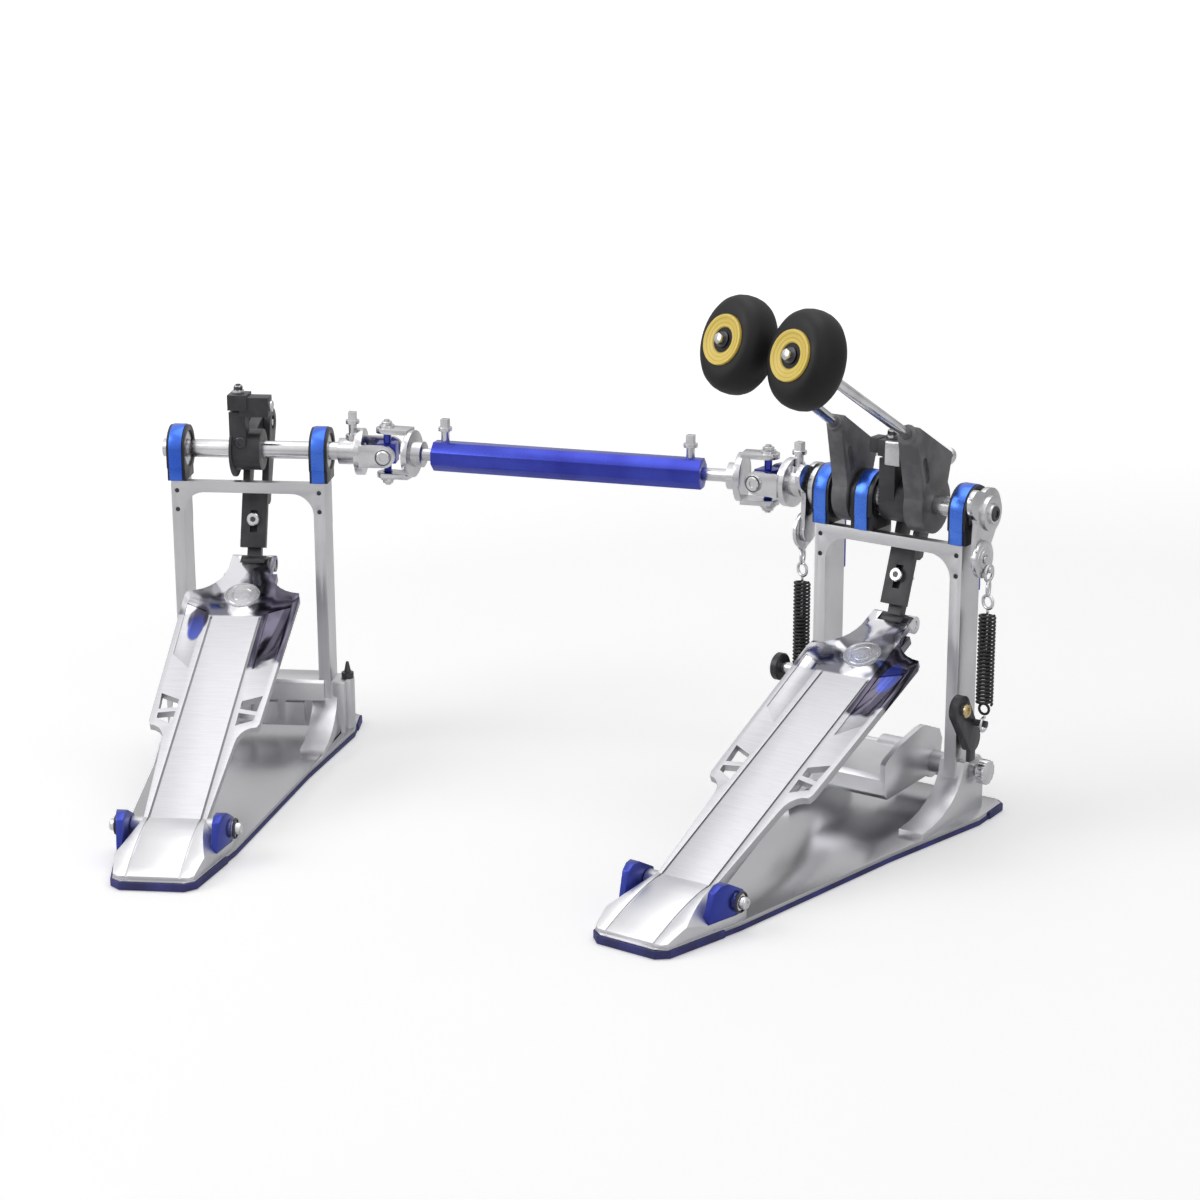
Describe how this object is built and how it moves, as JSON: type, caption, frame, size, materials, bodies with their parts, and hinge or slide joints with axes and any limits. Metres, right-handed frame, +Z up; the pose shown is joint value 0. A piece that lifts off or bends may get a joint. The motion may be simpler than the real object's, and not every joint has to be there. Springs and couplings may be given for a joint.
{
  "type": "double bass drum pedal",
  "caption": "Double bass drum pedal: two sprung footboards on floor plates work a pair of beaters through direct-drive links and a telescopic drive shaft.",
  "frame": {"origin": "On the floor under the middle of the main pedal's axle.", "axes": "+X to the player's right along the main axle, +Y towards the drum, +Z up."},
  "size_m": [0.6127, 0.4673, 0.3644],
  "materials": {
    "sole_rubber": "matt",
    "plate_steel": "satin",
    "cast_aluminium": "satin",
    "board_aluminium": "satin",
    "blue_metal": "satin, anodised look",
    "steel": "bright",
    "dark_steel": "dark, satin",
    "black_metal": "satin",
    "black_casting": "satin",
    "rod_chrome": "bright",
    "head_plastic": "satin",
    "disc_yellow": "semi-gloss",
    "spring_black": "satin"
  },
  "bodies": {
    "main_base": {"main_sole_pad": "sole_rubber", "main_base_plate": "plate_steel", "main_heel_plate": "cast_aluminium", "main_hinge_blocks": "blue_metal", "main_hinge_pin": "steel", "main_frame": "cast_aluminium", "main_bearing_housings": "black_casting", "main_bearing_caps": "blue_metal", "main_bearings": "steel", "spring_adjusters": "black_casting", "right_spring": "spring_black", "left_spring": "spring_black"},
    "main_swing": {"main_axle": "steel", "main_cam": "black_casting", "main_axle_bolts": "steel", "right_beater_holder": "black_casting", "right_rocker": "steel"},
    "right_beater": {"right_beater_rod": "rod_chrome", "right_beater_head": "head_plastic", "right_beater_disc": "disc_yellow"},
    "right_hanger": {"right_spring_hanger": "steel"},
    "main_board": {"main_footboard": "board_aluminium"},
    "main_link": {"main_link_lower": "black_metal", "main_link_upper": "black_metal", "main_link_bolts": "steel"},
    "left_swing": {"left_axle": "steel", "left_axle_bolts": "steel", "left_beater_holder": "black_casting", "left_rocker": "steel", "joint_b_hub": "steel"},
    "left_beater": {"left_beater_rod": "rod_chrome", "left_beater_head": "head_plastic", "left_beater_disc": "disc_yellow"},
    "left_hanger": {"left_spring_hanger": "steel"},
    "cross_b_body": {"cross_b": "blue_metal"},
    "shaft_right": {"joint_b_rod": "steel"},
    "hoop_jaw_body": {"hoop_jaw": "cast_aluminium"},
    "hoop_screw_body": {"hoop_screw": "steel"},
    "slave_base": {"slave_sole_pad": "sole_rubber", "slave_base_plate": "plate_steel", "slave_heel_plate": "cast_aluminium", "slave_hinge_blocks": "blue_metal", "slave_hinge_pin": "steel", "slave_frame": "cast_aluminium", "slave_bearing_housings": "black_casting", "slave_bearing_caps": "blue_metal", "slave_bearings": "steel"},
    "slave_swing": {"slave_axle": "steel", "slave_cam": "black_casting", "slave_axle_bolts": "steel", "joint_a_hub": "steel"},
    "cross_a_body": {"cross_a": "blue_metal"},
    "shaft_left": {"joint_a_rod": "steel", "drive_tube": "blue_metal", "tube_bolts": "steel"},
    "slave_board": {"slave_footboard": "board_aluminium"},
    "slave_link": {"slave_link_lower": "black_metal", "slave_link_upper": "black_metal", "slave_link_bolts": "steel"},
    "spurs": {"slave_spurs": "dark_steel"}
  },
  "joints": [
    {"name": "main_axle_swing", "type": "hinge", "parent": "main_base", "child": "main_swing", "pos_m": [0, 0, 0.215], "axis": [1, 0, 0], "range_deg": [-52, 3], "deforming": ["right_spring"]},
    {"name": "main_footboard_tilt", "type": "hinge", "parent": "main_base", "child": "main_board", "pos_m": [0, -0.253, 0.019], "axis": [1, 0, 0], "range_deg": [-8.5, 1]},
    {"name": "main_link_swing", "type": "hinge", "parent": "main_board", "child": "main_link", "pos_m": [0, -0.00262, 0.13028], "axis": [1, 0, 0], "range_deg": [-2, 17]},
    {"name": "right_rod_slide", "type": "slide", "parent": "main_swing", "child": "right_beater", "axis": [0, -0.878, 0.4787], "range_m": [-0.01, 0.01]},
    {"name": "right_hanger_tilt", "type": "hinge", "parent": "main_swing", "child": "right_hanger", "pos_m": [0, -0.01, 0.186], "axis": [1, 0, 0], "range_deg": [-5, 65]},
    {"name": "left_beater_swing", "type": "hinge", "parent": "main_base", "child": "left_swing", "pos_m": [0, 0, 0.215], "axis": [1, 0, 0], "range_deg": [-52, 3], "deforming": ["left_spring"]},
    {"name": "left_rod_slide", "type": "slide", "parent": "left_swing", "child": "left_beater", "axis": [0, -0.8599, 0.5105], "range_m": [-0.01, 0.01]},
    {"name": "left_hanger_tilt", "type": "hinge", "parent": "left_swing", "child": "left_hanger", "pos_m": [0, -0.01, 0.186], "axis": [1, 0, 0], "range_deg": [-5, 65]},
    {"name": "joint_b_rock", "type": "hinge", "parent": "left_swing", "child": "cross_b_body", "pos_m": [-0.104, 0, 0.215], "axis": [0, 1, 0], "range_deg": [-16, 2]},
    {"name": "drive_shaft_right_spin", "type": "hinge", "parent": "main_base", "child": "shaft_right", "pos_m": [-0.104, 0, 0.215], "axis": [0.9521, 0.3059, 0], "range_deg": [-53, 4]},
    {"name": "slave_distance", "type": "slide", "parent": "main_base", "child": "slave_base", "axis": [-0.9521, -0.3059, 0], "range_m": [-0.015, 0.045]},
    {"name": "slave_axle_swing", "type": "hinge", "parent": "slave_base", "child": "slave_swing", "pos_m": [-0.4596, -0.1359, 0.215], "axis": [0.8686, 0.4955, 0], "range_deg": [-53, 4]},
    {"name": "joint_a_rock", "type": "hinge", "parent": "slave_swing", "child": "cross_a_body", "pos_m": [-0.37274, -0.08635, 0.215], "axis": [-0.4955, 0.8686, 0], "range_deg": [-2, 11]},
    {"name": "drive_shaft_left_spin", "type": "hinge", "parent": "slave_base", "child": "shaft_left", "pos_m": [-0.37274, -0.08635, 0.215], "axis": [0.9521, 0.3059, 0], "range_deg": [-53, 4]},
    {"name": "slave_footboard_tilt", "type": "hinge", "parent": "slave_base", "child": "slave_board", "pos_m": [-0.33425, -0.35566, 0.019], "axis": [0.8686, 0.4955, 0], "range_deg": [-8.5, 1]},
    {"name": "slave_link_swing", "type": "hinge", "parent": "slave_board", "child": "slave_link", "pos_m": [-0.4583, -0.13817, 0.13028], "axis": [0.8686, 0.4955, 0], "range_deg": [-2, 17]},
    {"name": "hoop_screw_travel", "type": "slide", "parent": "main_base", "child": "hoop_screw_body", "axis": [1, 0, 0], "range_m": [-0.003, 0.0035]},
    {"name": "hoop_jaw_swing", "type": "hinge", "parent": "main_base", "child": "hoop_jaw_body", "pos_m": [0, 0.006, 0.034], "axis": [1, 0, 0], "range_deg": [-12.5, 14.5]},
    {"name": "spur_travel", "type": "slide", "parent": "slave_base", "child": "spurs", "axis": [0, 0, 1], "range_m": [0, 0.012]}
  ],
  "couplings": [
    {"joint": "main_footboard_tilt", "follows": "main_axle_swing", "ratio": 0.152},
    {"joint": "main_link_swing", "follows": "main_axle_swing", "ratio": -0.305},
    {"joint": "right_hanger_tilt", "follows": "main_axle_swing", "ratio": -1.2},
    {"joint": "left_hanger_tilt", "follows": "left_beater_swing", "ratio": -1.2},
    {"joint": "joint_b_rock", "follows": "left_beater_swing", "ratio": 0.285},
    {"joint": "drive_shaft_right_spin", "follows": "left_beater_swing", "ratio": 1},
    {"joint": "slave_axle_swing", "follows": "left_beater_swing", "ratio": 1},
    {"joint": "joint_a_rock", "follows": "left_beater_swing", "ratio": -0.189},
    {"joint": "drive_shaft_left_spin", "follows": "left_beater_swing", "ratio": 1},
    {"joint": "slave_footboard_tilt", "follows": "left_beater_swing", "ratio": 0.152},
    {"joint": "slave_link_swing", "follows": "left_beater_swing", "ratio": -0.305},
    {"joint": "hoop_jaw_swing", "follows": "hoop_screw_travel", "rad_per_m": 69.8}
  ]
}
